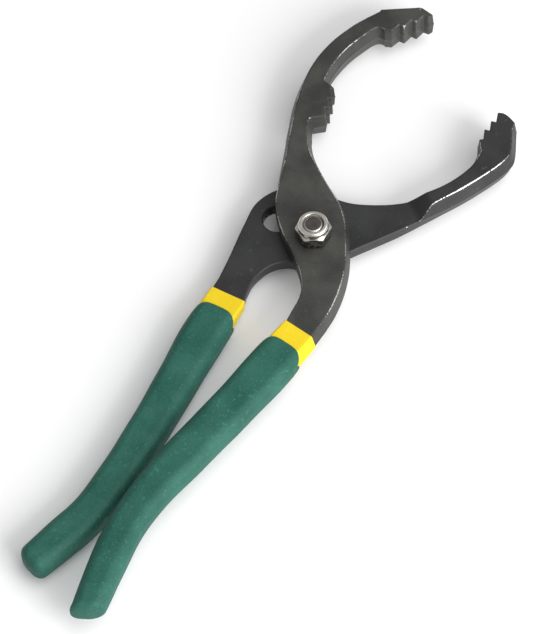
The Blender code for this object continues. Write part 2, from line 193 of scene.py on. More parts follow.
def sampled(points, corners, plan):
    """The outline read at a corner plan: parabolas cut the corners back, straights join them. A
    corner takes up at most 0.45 of a straight."""
    k, t, straight = plan
    t = t[:, None]
    after = np.roll(points, -1, axis=0) - points
    length = np.linalg.norm(after, axis=1)
    back = np.minimum(corners, 0.45 * np.minimum(length, np.roll(length, 1)))
    start = points - np.roll(after / length[:, None], 1, axis=0) * back[:, None]
    end = points + after / length[:, None] * back[:, None]
    round_corner = (1 - t) ** 2 * start[k] + 2 * t * (1 - t) * points[k] + t ** 2 * end[k]
    along = end[k] + (np.roll(start, -1, axis=0)[k] - end[k]) * t
    return np.where(straight[:, None], along, round_corner)


def eased(s, width):
    """max(s, 0) with its corner replaced by a parabola from -width to +width."""
    return np.where(s < -width, 0, np.where(s > width, s, (s + width) ** 2 / (4 * width)))


def cut_height(xy, ramp):
    """Height of an arm's cut face: the lap, then a 45 degree slope up to the jaw's full thickness."""
    s = xy @ np.array(ramp[:2]) - ramp[2]
    return -GAP / 2 + eased(s, FOOT_EASE) - eased(s - HALF - GAP / 2, SHOULDER_EASE)


def inside(xy, ring):
    """Which points lie in a closed ring, by counting the edges to their right."""
    x, y = xy[:, 0:1], xy[:, 1:2]
    x0, y0 = ring.T
    x1, y1 = np.roll(ring, -1, axis=0).T
    crosses = (y0 > y) != (y1 > y)
    slope = (x1 - x0) / np.where(y1 == y0, 1, y1 - y0)
    return (crosses & (x < x0 + (y - y0) * slope)).sum(axis=1) % 2 == 1


def face_points(rings, ramp):
    """Points spread over a face: a square lattice, and closer rows over the slope and past its ends,
    reach to either side. The lattice keeps apart from the rows, and all points clear of the edges."""
    past = 3.0
    apart = 0.6
    reach = 60.0
    clear = 0.8
    ux, uy, start = ramp
    up, wide = SLOPE_STEP
    s, w = np.mgrid[start - past:start + HALF + past:up, -reach:reach:wide].reshape(2, -1)
    slope = np.stack([s * ux - w * uy, s * uy + w * ux], axis=1)
    low, high = rings[0].min(axis=0), rings[0].max(axis=0)
    lattice = np.mgrid[low[0]:high[0]:FACE_STEP, low[1]:high[1]:FACE_STEP].reshape(2, -1).T
    away = lattice @ np.array([ux, uy]) - start
    lattice = lattice[(away < -past - apart) | (away > HALF + past + apart)]
    points = np.vstack([lattice, slope])
    points = points[inside(points, rings[0])]
    for ring in rings[1:]:
        points = points[~inside(points, ring)]
    everything = np.vstack(rings)
    near = np.linalg.norm(points[:, None] - everything[None], axis=2).min(axis=1)
    return points[near > clear]


def face_triangles(rings, points):
    """Delaunay triangles between an outer ring, the holes' rings and the points between them."""
    xy = np.vstack([*rings, points])
    edges = []
    first = 0
    for ring in rings:
        ids = np.arange(len(ring)) + first
        edges += np.stack([ids, np.roll(ids, -1)], axis=1).tolist()
        first += len(ring)
    _, _, faces, origin, _, _ = delaunay_2d_cdt([Vector(p) for p in xy], edges, [], 2, 1e-6)
    ids = np.array([sources[0] for sources in origin])
    triangles = ids[np.array(faces)]
    for hole in rings[1:]:
        triangles = triangles[~inside(xy[triangles].mean(axis=1), hole)]
    return triangles


def changing(points, *values):
    """A value for each point of an edge: (share of its points, value) pairs, blended between them."""
    shares, amounts = zip(*values)
    return np.interp(np.linspace(0, 1, len(points)), shares, amounts)


def mesh_piece(name, vertices, faces, edge, looks, sharp=40):
    """A piece from vertices in millimetres and triangles or quads, smooth but for angles over sharp
    degrees. edge says how worn each vertex is, or on bright plate how much painted shade and dark reflection
    it takes."""
    mesh = bpy.data.meshes.new(name)
    places = vertices * MM + (0, 0, LAP * MM)
    mesh.from_pydata(places.tolist(), [], [face for group in faces for face in group.tolist()])
    worn = mesh.attributes.new("edge", "FLOAT", "POINT")
    worn.data.foreach_set("value", np.asarray(edge, np.float32))
    mesh.shade_smooth()
    mesh.set_sharp_from_angle(angle=radians(sharp))
    for look in looks:
        mesh.materials.append(look)
    piece = bpy.data.objects.new(name, mesh)
    bpy.context.scene.collection.objects.link(piece)
    return piece


def bands(rows, columns, first=0):
    """Quads between consecutive closed rows of vertices numbered row by row."""
    ids = np.arange(rows * columns).reshape(rows, columns) + first
    after = np.roll(ids, -1, axis=1)
    return np.stack([ids[:-1], after[:-1], after[1:], ids[1:]], axis=-1).reshape(-1, 4)


def forged_wall(edges, ramp):
    """The wall of an arm, from its back face to its cut face: rows of points, and how worn each is.

    Each row is the outline moved in by draft * height / HALF. The rows beside a face follow a quarter
    circle of radius EDGE, and the last lies on the face. The cut face's height, which the rows
    depend on, is read where the row lies, so each row is placed again until it settles."""
    points = np.vstack([edge[0] for edge in edges])
    draft, corners, rub = (
        np.concatenate([np.broadcast_to(edge[which], len(edge[0])) for edge in edges])
        for which in (1, 2, 3)
    )
    x, y = points.T
    if (x * np.roll(y, -1) - y * np.roll(x, -1)).sum() > 0:
        points, draft, corners, rub = points[::-1], draft[::-1], corners[::-1], rub[::-1]
    draft = (np.roll(draft, 1) + draft + np.roll(draft, -1)) / 3
    plan = corner_plan(points, corners)
    corner, t, straight = plan
    convex = np.cross(points - np.roll(points, 1, axis=0), np.roll(points, -1, axis=0) - points) < 0
    tip = TIP_RUB * (convex & (corners > 0))[corner] * ~straight * (1 - 0.6 * abs(2 * t - 1))
    rub = rub[corner]
    made = []

    def row(height, further, wear):
        """One row: its height and extra inset are functions of the cut face's height, and wear is
        the share of rub that it shows. A tooth's tip is rubbed on every row."""
        top = cut_height(points, ramp)
        for _ in range(3):
            moved = inset(points, draft * abs(height(top)) / HALF + further(top))
            top = cut_height(moved, ramp)
        xy = sampled(moved, corners, plan)
        z = height(cut_height(xy, ramp)) + np.zeros(len(xy))
        made.append((np.column_stack([xy, z]), np.maximum(wear * rub, tip)))

    def seam(top):
        """The parting line's height: the lap plane, or just under the cut face's edge."""
        return np.minimum(0, top - EDGE - BAND)

    back = -(HALF - EDGE)
    turns = radians(90) * np.array([0, 1 / 3, 2 / 3, 1])
    quarter = list(zip(turns, (0.55, 1.0, 1.0, 0.55)))
    row(lambda top: -HALF, lambda top: EDGE + BAND, 0.0)
    for turn, wear in quarter[::-1]:
        row(lambda top: back - EDGE * sin(turn), lambda top: EDGE * (1 - cos(turn)), wear)
    row(lambda top: back / 2 + seam(top) / 2, lambda top: 0, 0.0)
    for offset, share in ((-SEAM_FOOT, 0), (-SEAM_CREST, 1), (SEAM_CREST, 1), (SEAM_FOOT, 0)):
        row(lambda top: seam(top) + offset, lambda top: -FLASH * np.clip(top, 0, 1) * share, 0.25 * share)
    row(lambda top: (seam(top) + SEAM_FOOT + top - EDGE) / 2, lambda top: 0, 0.0)
    for turn, wear in quarter:
        row(lambda top: top - EDGE + EDGE * sin(turn), lambda top: EDGE * (1 - cos(turn)), wear)
    row(lambda top: top, lambda top: EDGE + BAND, 0.0)
    return np.array([xyz for xyz, _ in made]), np.array([wear for _, wear in made])


def forging(name, edges, ramp, hole, rim, cut_side, look):
    """An arm from (points, draft, corner, rub) edges of its plan outline on the parting line. corner
    is how far a corner is cut back, and rub how worn the coating is where a wall meets a face, 1
    being half gone. The back face is flat and the cut face is cut_height, looking up where cut_side
    is 1 and down where it's -1. The hole opens out to its rim at both."""
    wall, wall_wear = forged_wall(edges, ramp)
    rows, columns = wall.shape[:2]
    lap = -GAP / 2
    bore = [np.column_stack([xy, np.full(len(hole), z)]) for xy, z in (
        (rim, -HALF),
        (hole, -HALF + SEAT_CHAMFER),
        (hole, lap - SEAT_CHAMFER),
        (rim, lap),
    )]
    bore_wear = np.repeat([0.5, 0.8, 0.8, 0.5], len(hole))
    bore_first = rows * columns
    vertices = [wall.reshape(-1, 3), *bore]
    wear = [wall_wear.ravel(), bore_wear]
    faces = [bands(rows, columns)[:, ::-1], bands(4, len(hole), bore_first)[:, ::-1]]
    used = bore_first + 4 * len(hole)
    for is_cut in (False, True):
        ring_row, hole_row = (rows - 1, 3) if is_cut else (0, 0)
        rings = [wall[ring_row, :, :2], rim]
        spread = face_points(rings, ramp)
        z = cut_height(spread, ramp) if is_cut else np.full(len(spread), -HALF)
        past_slope = spread @ np.array(ramp[:2]) - ramp[2] - HALF
        wear.append(SHOULDER_RUB * np.exp(-past_slope ** 2) * is_cut)
        ids = np.concatenate([
            ring_row * columns + np.arange(columns),
            bore_first + hole_row * len(hole) + np.arange(len(hole)),
            used + np.arange(len(spread)),
        ])
        triangles = ids[face_triangles(rings, spread)]
        vertices.append(np.column_stack([spread, z]))
        faces.append(triangles if is_cut else triangles[:, ::-1])
        used += len(spread)
    vertices = np.vstack(vertices)
    if cut_side < 0:
        vertices = vertices * (1, 1, -1)
        faces = [group[:, ::-1] for group in faces]
    return mesh_piece(name, vertices, faces, np.concatenate(wear), [look])


def slot_outline(grow):
    """Three round seats joined by a neck. u runs along an arc about SLOT_POLE and v across it:
    v is the largest of sqrt(seat^2 - (u - seat centre)^2) and, between the end seats, the neck."""
    samples = 121
    seat = SLOT_SEAT + grow
    u = np.linspace(-seat, SLOT_LENGTH + seat, samples)
    centres = np.array([[0.0], [0.5], [1.0]]) * SLOT_LENGTH
    seats = np.sqrt(np.maximum(seat ** 2 - (u - centres) ** 2, 0)).max(axis=0)
    v = np.maximum(seats, np.where((u >= 0) & (u <= SLOT_LENGTH), SLOT_NECK + grow, 0))
    u = np.concatenate([u, u[-2:0:-1]])
    v = np.concatenate([v, -v[-2:0:-1]])
    angle = atan2(-SLOT_POLE[1], -SLOT_POLE[0]) + u / SLOT_REACH
    outline = np.stack([np.cos(angle), np.sin(angle)], axis=1) * (SLOT_REACH + v)[:, None]
    return (outline + SLOT_POLE)[::-1]


def node_group(name, inputs, outputs):
    """A shader node group with float inputs {name: value} and outputs {name: kind}."""
    made = bpy.data.node_groups.new(name, "ShaderNodeTree")
    for label, value in inputs.items():
        made.interface.new_socket(label, in_out="INPUT", socket_type="NodeSocketFloat").default_value = value
    for label, kind in outputs.items():
        made.interface.new_socket(label, in_out="OUTPUT", socket_type=f"NodeSocket{kind}")
    return made, made.nodes.new("NodeGroupInput"), made.nodes.new("NodeGroupOutput")


def node(tree, kind, settings=(), **inputs):
    """A node with settings set and its inputs given as values or as sockets to link."""
    made = tree.nodes.new(f"ShaderNode{kind}")
    for label, value in dict(settings).items():
        setattr(made, label, value)
    for label, value in inputs.items():
        socket = made.inputs[int(label[1:]) if label[1:].isdigit() else label.replace("_", " ")]
        if isinstance(value, bpy.types.NodeSocket):
            tree.links.new(value, socket)
        else:
            socket.default_value = value
    return made


def maths(tree, operation, *values, clamp=False):
    """A Math node's result."""
    made = node(tree, "Math", {"operation": operation, "use_clamp": clamp},
                **{f"_{k}": value for k, value in enumerate(values)})
    return made.outputs[0]


def noise(tree, scale, detail=3.0, roughness=0.55, vector=None):
    """A Noise texture's value on Object coordinates, about 0.5."""
    if vector is None:
        vector = node(tree, "TexCoord").outputs["Object"]
    made = node(tree, "TexNoise", Vector=vector, Scale=scale, Detail=detail, Roughness=roughness)
    return made.outputs["Fac"]


def remap(tree, value, low, high, to_low=0.0, to_high=1.0):
    """A Map Range from low..high to to_low..to_high, clamped and eased at both ends."""
    made = node(tree, "MapRange", {"interpolation_type": "SMOOTHSTEP"}, Value=value,
                From_Min=low, From_Max=high, To_Min=to_low, To_Max=to_high)
    return made.outputs["Result"]


def mixed(tree, share, first, second):
    """Two colours mixed by share."""
    made = node(tree, "Mix", {"data_type": "RGBA"}, _0=share, _6=first, _7=second)
    return made.outputs[2]


def grain_group():
    """Fine surface grain: cloudy tone over a few millimetres, and grit about as fine as its Size."""
    values = {"Cloud Scale": 90.0, "Grit Scale": 2600.0, "Relief": 0.5}
    tree, given, result = node_group("Surface grain", values, {"Tone": "Float", "Height": "Float"})
    cloud = noise(tree, given.outputs["Cloud Scale"], 4.0)
    grit = noise(tree, given.outputs["Grit Scale"], 2.0, 0.6)
    swell = noise(tree, maths(tree, "MULTIPLY", given.outputs["Cloud Scale"], 3.0), 2.0)
    tone = maths(tree, "ADD", maths(tree, "MULTIPLY", remap(tree, cloud, 0.3, 0.7), 0.6),
                 maths(tree, "MULTIPLY", remap(tree, grit, 0.3, 0.7), 0.4))
    height = maths(tree, "ADD", maths(tree, "MULTIPLY", grit, given.outputs["Relief"]), swell)
    tree.links.new(tone, result.inputs["Tone"])
    tree.links.new(height, result.inputs["Height"])
    return tree


def wear_group():
    """Coating rubbed off at edges: the edge attribute, raised and lowered by patches and specks, over
    a level that Amount brings down."""
    values = {"Amount": 0.0, "Patch Scale": 60.0, "Speck Scale": 900.0}
    tree, given, result = node_group("Edge wear", values, {"Mask": "Float"})
    edge = node(tree, "Attribute", {"attribute_name": "edge"}).outputs["Fac"]
    patch = noise(tree, given.outputs["Patch Scale"], 2.0)
    speck = noise(tree, given.outputs["Speck Scale"], 2.0, 0.7)
    level = maths(tree, "ADD", edge, given.outputs["Amount"])
    for texture, strength in ((patch, 1.8), (speck, 1.5)):
        swing = maths(tree, "MULTIPLY", maths(tree, "SUBTRACT", texture, 0.5), strength)
        level = maths(tree, "ADD", level, swing)
    tree.links.new(remap(tree, level, 0.95, 1.25), result.inputs["Mask"])
    return tree


GRAIN = grain_group()
WEAR = wear_group()


def placed(tree, group, **values):
    """A node group placed in a material with its own values."""
    made = tree.nodes.new("ShaderNodeGroup")
    made.node_tree = group
    for label, value in values.items():
        made.inputs[label.replace("_", " ")].default_value = value
    return made.outputs


def new_look(name, **values):
    """A material, its node tree and its Principled BSDF with values set on the shader's own sockets."""
    look = bpy.data.materials.new(name)
    look.use_nodes = True
    shader = look.node_tree.nodes["Principled BSDF"]
    for label, value in values.items():
        shader.inputs[label.replace("_", " ")].default_value = value
    return look, look.node_tree, shader


def bumped(tree, shader, height, distance, strength=1.0):
    """Gives the shader a normal from a height."""
    bump = node(tree, "Bump", Height=height, Distance=distance, Strength=strength)
    tree.links.new(bump.outputs["Normal"], shader.inputs["Normal"])


def roughened(tree, shader, least, tone, swing):
    """Gives the shader a roughness from least to least + swing by tone."""
    rough = maths(tree, "ADD", least, maths(tree, "MULTIPLY", tone, swing))
    tree.links.new(rough, shader.inputs["Roughness"])


OXIDE_DEEP = (0.010, 0.010, 0.0095, 1)
OXIDE_PALE = (0.043, 0.043, 0.040, 1)
OXIDE_SCALE = (0.075, 0.074, 0.07, 1)
BARE_STEEL = (0.52, 0.51, 0.49, 1)


def black_oxide(name, tint):
    """Hot oxide on a shot-blasted forging: near black, satin, cloudy, rubbed to steel at its edges."""
    look, tree, shader = new_look(name, Specular_IOR_Level=0.5)
    grain = placed(tree, GRAIN, Cloud_Scale=70.0, Grit_Scale=2300.0, Relief=0.45)
    worn = placed(tree, WEAR, Amount=0.0, Patch_Scale=75.0, Speck_Scale=1100.0)["Mask"]
    scale = remap(tree, noise(tree, 420.0, 2.0, 0.7), 0.66, 0.74)
    base = mixed(tree, grain["Tone"], tuple(c * t for c, t in zip(OXIDE_DEEP, tint)),
                 tuple(c * t for c, t in zip(OXIDE_PALE, tint)))
    base = mixed(tree, maths(tree, "MULTIPLY", scale, 0.5), base, OXIDE_SCALE)
    tree.links.new(mixed(tree, worn, base, BARE_STEEL), shader.inputs["Base Color"])
    tree.links.new(remap(tree, worn, 0.1, 0.7, 0.0, 0.9), shader.inputs["Metallic"])
    rough = maths(tree, "ADD", 0.4, maths(tree, "MULTIPLY", grain["Tone"], 0.16))
    rough = maths(tree, "SUBTRACT", rough, maths(tree, "MULTIPLY", worn, 0.12))
    tree.links.new(rough, shader.inputs["Roughness"])
    bumped(tree, shader, grain["Height"], 0.00018, 0.55)
    return look


def belongs(piece, body, node_name):
    """The piece moves with a body and stands for a CAD node, which it hides."""
    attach(piece, body)
    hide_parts(node_name)


plus, tip, minus = tang(REAR_GRIP)
outer = smooth(REAR_OUTER, 10)[:-1]
inner = smooth(REAR_INNER, 10)
rear_edges = [
    (plus[::-1], CROTCH_DRAFT, 0.0, 0.4),
    (outer, changing(outer, (0.57, CROTCH_DRAFT), (0.67, DRAFT)), 0.0,
     changing(outer, (0.58, 0.65), (0.64, 1.15), (0.73, 1.3), (0.9, 1.2), (0.95, 0.8))),
    (smooth(REAR_NOSE, 6)[:-3], DRAFT / 4, 0.0, 1.0),
    (teeth(*REAR_TEETH)[::-1], 0.0, TOOTH_CORNER, 0.6),
    (inner, DRAFT, 0.0, changing(inner, (0.03, 1.3), (0.12, 0.6))),
    (minus[::-1], DRAFT / 2, 0.0, 0.4),
    (tip[::-1], DRAFT / 2, 0.0, 0.0),
]
REAR_TINT = (0.48, 0.50, 0.53, 1)       # the rear arm's oxide is the darker and bluer
rear_arm = forging("rear_arm_forged", rear_edges, REAR_RAMP, slot_outline(0.0),
                   slot_outline(SEAT_CHAMFER), 1, black_oxide("rear_oxide", REAR_TINT))
belongs(rear_arm, "rear", "rear_arm")

# ------------------------------------------------------------------ front arm
# The upper arm, with the left-hand jaw, its two toothed blocks, and the right-hand handle. The same
# forging as the rear arm, milled on its underside, with a hole with two flats that keys the bolt.

FRONT_OUTER = [(9.9, -34.0), (9.3, -28.0), (6.6, -21.6), (-1.0, -13.7), (-12.8, -4.4),
               (-20.9, 4.8), (-26.0, 15.0), (-31.5, 28.5), (-37.0, 42.5), (-42.0, 56.5),
               (-44.6, 73.0), (-43.6, 86.0), (-39.5, 99.4), (-33.0, 111.8)]
FRONT_NOSE = [(-18.2, 120.9), (-11.1, 119.0)]
FRONT_INNER = [(-25.3, 101.6), (-28.0, 101.4), (-31.2, 94.5), (-33.7, 85.5), (-34.5, 76.5),
               (-33.9, 68.6)]
FRONT_NECK = [(-28.6, 48.4), (-26.4, 43.5), (-21.1, 36.1), (-11.5, 28.5), (1.0, 20.4),
              (8.6, 13.1), (14.4, 4.2), (19.6, -5.4), (23.2, -15.6), (25.1, -26.0), (25.4, -34.0)]
FRONT_TIP_TEETH = ((-12.6, 116.4), (-3.33, -4.43), (-2.4, 0.0), 4)
FRONT_BLOCK_TEETH = ((-28.5, 66.4), (1.37, -4.63), (-1.75, -1.1), 4)
FRONT_RAMP = (-0.45, 0.893, 47.5)
NOSE_CORNER = 1.0                       # rounding of the two corners at the jaw's end
FRONT_GRIP = [(17.7, -41.0, 18.2), (16.6, -49.5, 18.2), (14.8, -64.0, 18.0),
              (11.4, -86.0, 17.3), (7.0, -111.0, 16.4), (3.9, -133.0, 14.9),
              (3.9, -150.0, 14.2), (6.4, -167.0, 13.6), (9.6, -183.0, 12.4)]
SHANK_ROUND = 5.7                       # the bolt's shank, round with two flats
SHANK_FLAT = 4.1


def shank_outline(grow, count=72):
    """A circle cut by two flats that lie along the slot, anticlockwise."""
    turn = atan2(-SLOT_POLE[1], -SLOT_POLE[0]) + pi / 2
    a = np.linspace(0, 2 * pi, count, endpoint=False)
    u = (SHANK_ROUND + grow) * np.cos(a)
    v = np.clip((SHANK_ROUND + grow) * np.sin(a), -SHANK_FLAT - grow, SHANK_FLAT + grow)
    return np.stack([u * cos(turn) - v * sin(turn), u * sin(turn) + v * cos(turn)], axis=1)


plus, tip, minus = tang(FRONT_GRIP)
outer = smooth(FRONT_OUTER, 10)
neck = smooth(FRONT_NECK, 10)
front_edges = [
    (outer, changing(outer, (0.41, CROTCH_DRAFT), (0.51, DRAFT)), 0.0, 1.0),
    (FRONT_NOSE, DRAFT / 4, NOSE_CORNER, 0.6),
    (teeth(*FRONT_TIP_TEETH), 0.0, TOOTH_CORNER, 0.65),
    (smooth(FRONT_INNER, 10), DRAFT / 2, 0.0, 1.2),
    (teeth(*FRONT_BLOCK_TEETH), 0.0, TOOTH_CORNER, 0.65),
    (neck, DRAFT, 0.0, changing(neck, (0.03, 1.3), (0.12, 1.08))),
    (plus, DRAFT, 0.0, 0.6),
    (tip, DRAFT / 2, 0.0, 0.0),
    (minus, CROTCH_DRAFT, 0.0, 0.4),
]
FRONT_TINT = (1.2, 1.2, 1.12, 1)
front_arm = forging("front_arm_forged", front_edges, FRONT_RAMP, shank_outline(GAP)[::-1],
                    shank_outline(GAP + SEAT_CHAMFER)[::-1], -1, black_oxide("front_oxide", FRONT_TINT))
belongs(front_arm, "front", "front_arm")

# ------------------------------------------------------------------ pivot bolt
# A low round head under the rear arm, a shank with two flats through both arms, and an M8 end in
# the nut. Turned and milled from medium-carbon steel, with a thin dark plating.

HEAD_LOW = -LAP
HEAD_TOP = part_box("wear_washer")[0][2] / MM - LAP - GAP
HEAD_RADIUS = (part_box("pivot_bolt")[1][0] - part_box("pivot_bolt")[0][0]) / MM / 2
BOLT_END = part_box("pivot_bolt")[1][2] / MM - LAP
THREAD = 4.0                            # M8
END_CHAMFER = 0.8
HEAD_ROUND = 1.2                        # rounding under the head's rim


def ring(radius, height, count=96):
    """A circle about the bolt's axis as one row of a surface."""
    a = np.linspace(0, 2 * pi, count, endpoint=False)
    return np.stack([radius * np.cos(a), radius * np.sin(a), height + 0 * a], axis=1)


def arc(centre, radius, start, end, count=6):
    """Points (r, z) on a circle in the profile plane, angles in degrees from outwards to upwards."""
    a = np.radians(np.linspace(start, end, count))
    return np.stack([centre[0] + radius * np.cos(a), centre[1] + radius * np.sin(a)], axis=1)


def skin(name, rows, edge, looks, closed=False, sharp=40):
    """A surface through equal rows of vertices, from its lowest outside row upwards and inwards. It
    closes on itself if closed, or else at a pole in the middle of each end row."""
    rows = np.asarray(rows)
    edge = np.broadcast_to(np.asarray(edge, float).reshape(len(rows), -1), rows.shape[:2])
    count, columns = rows.shape[:2]
    vertices = rows.reshape(-1, 3)
    wear = edge.ravel()
    faces = [bands(count, columns)]
    ids = np.arange(columns)
    last = (count - 1) * columns + ids
    if closed:
        faces.append(np.stack([last, np.roll(last, -1), np.roll(ids, -1), ids], axis=1))
    else:
        poles = np.array([rows[0].mean(axis=0), rows[-1].mean(axis=0)])
        first = np.full(columns, len(vertices))
        faces.append(np.stack([first, np.roll(ids, -1), ids], axis=1))
        faces.append(np.stack([first + 1, last, np.roll(last, -1)], axis=1))
        vertices = np.vstack([vertices, poles])
        wear = np.append(wear, [edge[0, 0], edge[-1, 0]])
    return mesh_piece(name, vertices, faces, wear, looks, sharp)


def bolt_rows():
    """Head, shank and thread from the bottom up: circles, but for the shank's flattened rows. With
    them goes how worn each row is."""
    crown = 0.25
    rim = 0.3
    chamfer = 0.3
    flat = (2.0, 5.0, HEAD_RADIUS - HEAD_ROUND)
    rows = [ring(r, HEAD_LOW + crown * (r / HEAD_RADIUS) ** 4) for r in flat]
    wear = [0.1, 0.1, 0.2]
    for r, z in arc((HEAD_RADIUS - HEAD_ROUND, HEAD_LOW + HEAD_ROUND + crown), HEAD_ROUND, -75, 0):
        rows.append(ring(r, z))
        wear.append(0.6)
    for r, z in arc((HEAD_RADIUS - rim, HEAD_TOP - rim), rim, 0, 90, 4):
        rows.append(ring(r, z))
        wear.append(0.9)
    shank_top = HALF - GAP
    for grow, z in ((0, HEAD_TOP), (0, shank_top - chamfer), (-chamfer, shank_top)):
        outline = shank_outline(grow, len(rows[0]))
        rows.append(np.column_stack([outline, np.full(len(outline), z)]))
        wear.append(0.4)
    turn = atan2(-SLOT_POLE[1], -SLOT_POLE[0]) + pi / 2
    chamfer_low = BOLT_END - END_CHAMFER
    chamfer_in = THREAD - END_CHAMFER
    thread = [(THREAD, shank_top), (THREAD, chamfer_low), (THREAD - 0.12, chamfer_low + 0.14),
              (chamfer_in + 0.1, BOLT_END - 0.06), (chamfer_in - 0.05, BOLT_END), (1.6, BOLT_END)]
    for (r, z), worn in zip(thread, (0.2, 0.9, 1.6, 1.6, 0.4, 0.0)):
        turned = ring(r, z)
        turned[:, :2] = turned[:, :2] @ np.array([[cos(turn), sin(turn)], [-sin(turn), cos(turn)]])
        rows.append(turned)
        wear.append(worn)
    return rows, wear


def dark_plate():
    """Thin dark plating on turned steel, bright where an edge has rubbed."""
    look, tree, shader = new_look("dark_plate", Specular_IOR_Level=0.5)
    grain = placed(tree, GRAIN, Cloud_Scale=300.0, Grit_Scale=4200.0, Relief=0.6)
    rubbed = placed(tree, WEAR, Amount=0.1, Patch_Scale=260.0, Speck_Scale=2500.0)["Mask"]
    base = mixed(tree, grain["Tone"], (0.032, 0.028, 0.026, 1), (0.075, 0.066, 0.06, 1))
    tree.links.new(mixed(tree, rubbed, base, (0.6, 0.58, 0.54, 1)), shader.inputs["Base Color"])
    metal = maths(tree, "ADD", 0.35, maths(tree, "MULTIPLY", rubbed, 0.6))
    tree.links.new(metal, shader.inputs["Metallic"])
    roughened(tree, shader, 0.32, grain["Tone"], 0.2)
    bumped(tree, shader, grain["Height"], 0.0001, 0.5)
    return look


pivot_bolt = skin("pivot_bolt_turned", *bolt_rows(), [dark_plate()])
belongs(pivot_bolt, "front", "pivot_bolt")

# ------------------------------------------------------------------ wear washer
# A hardened ring between the bolt's head and the rear arm, stamped from strip and zinc plated. It
# bridges the slot and slides along it with the bolt.

WASHER_RADIUS = (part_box("wear_washer")[1][0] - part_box("wear_washer")[0][0]) / MM / 2
WASHER_LOW, WASHER_TOP = (corner[2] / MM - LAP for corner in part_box("wear_washer"))
WASHER_HOLE = SHANK_ROUND + GAP
DIE_ROLL = 0.35                         # the punch rounds the rim's lower edge
HOLE_ROLL = 0.2                         # and less so the hole's
SHEARED = 0.15                          # the upper edges are sharper


def bright_plate():
    """Bright nickel or zinc on steel: warm silver, fine tool marks, clouded in places, with painted
    shade and dark reflection, in patches, where the edge attribute puts it."""
    look, tree, shader = new_look("bright_plate", Metallic=1.0)
    grain = placed(tree, GRAIN, Cloud_Scale=420.0, Grit_Scale=5200.0, Relief=0.7)
    film = remap(tree, noise(tree, 260.0, 3.0), 0.4, 0.7)
    base = mixed(tree, grain["Tone"], (0.72, 0.69, 0.63, 1), (0.86, 0.84, 0.79, 1))
    base = mixed(tree, maths(tree, "MULTIPLY", film, 0.35), base, (0.45, 0.39, 0.32, 1))
    # Painted shade and dark reflection: a dark brown laid over the plate where the edge attribute says,
    # broken into patches.
    shade_weight = node(tree, "Attribute", {"attribute_name": "edge"}).outputs["Fac"]
    patchy = remap(tree, noise(tree, 480.0, 2.0, 0.6), 0.4, 0.56, 0.35, 1.0)
    painted_shade = maths(tree, "MULTIPLY", shade_weight, patchy)
    tree.links.new(mixed(tree, painted_shade, base, (0.075, 0.055, 0.042, 1)), shader.inputs["Base Color"])
    roughened(tree, shader, 0.12, grain["Tone"], 0.14)
    bumped(tree, shader, grain["Height"], 0.00006, 0.5)
    return look


BRIGHT = bright_plate()
washer_profile = np.vstack([
    arc((WASHER_HOLE + HOLE_ROLL, WASHER_LOW + HOLE_ROLL), HOLE_ROLL, 180, 270, 4),
    arc((WASHER_RADIUS - DIE_ROLL, WASHER_LOW + DIE_ROLL), DIE_ROLL, -90, 0, 5),
    arc((WASHER_RADIUS - SHEARED, WASHER_TOP - SHEARED), SHEARED, 0, 90, 4),
    arc((WASHER_HOLE + SHEARED, WASHER_TOP - SHEARED), SHEARED, 90, 180, 4),
])
wear_washer = skin("wear_washer_plated", [ring(r, z) for r, z in washer_profile],
                   np.zeros(len(washer_profile)), [BRIGHT], closed=True)
belongs(wear_washer, "slider", "wear_washer")

# ------------------------------------------------------------------ lock nut
# An M8 prevailing-torque hexagon nut, cold formed and bright plated. Its collar is rolled over the
# nylon ring; its corners are chamfered at 30 degrees top and bottom.

NUT_LOW, NUT_TOP = (corner[2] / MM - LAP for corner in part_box("lock_nut"))
NUT_FLATS = 13.0                        # across the flats
NUT_CORNER = 7.38                       # radius of the worn corners
NUT_TURN = radians(31)                  # how the nut happens to be turned
NUT_HEX = 5.5                           # height of the hexagon under the collar
NUT_FACE = 6.25                         # radius where the chamfer starts on the faces
COLLAR = 6.1
COLLAR_ROUND = 0.9
LIP = 4.60                              # radius of the middle of the collar's rolled lip
LIP_ROUND = 0.22
POCKET = 5.3                            # radius of the pocket that holds the nylon
BORE = THREAD + GAP


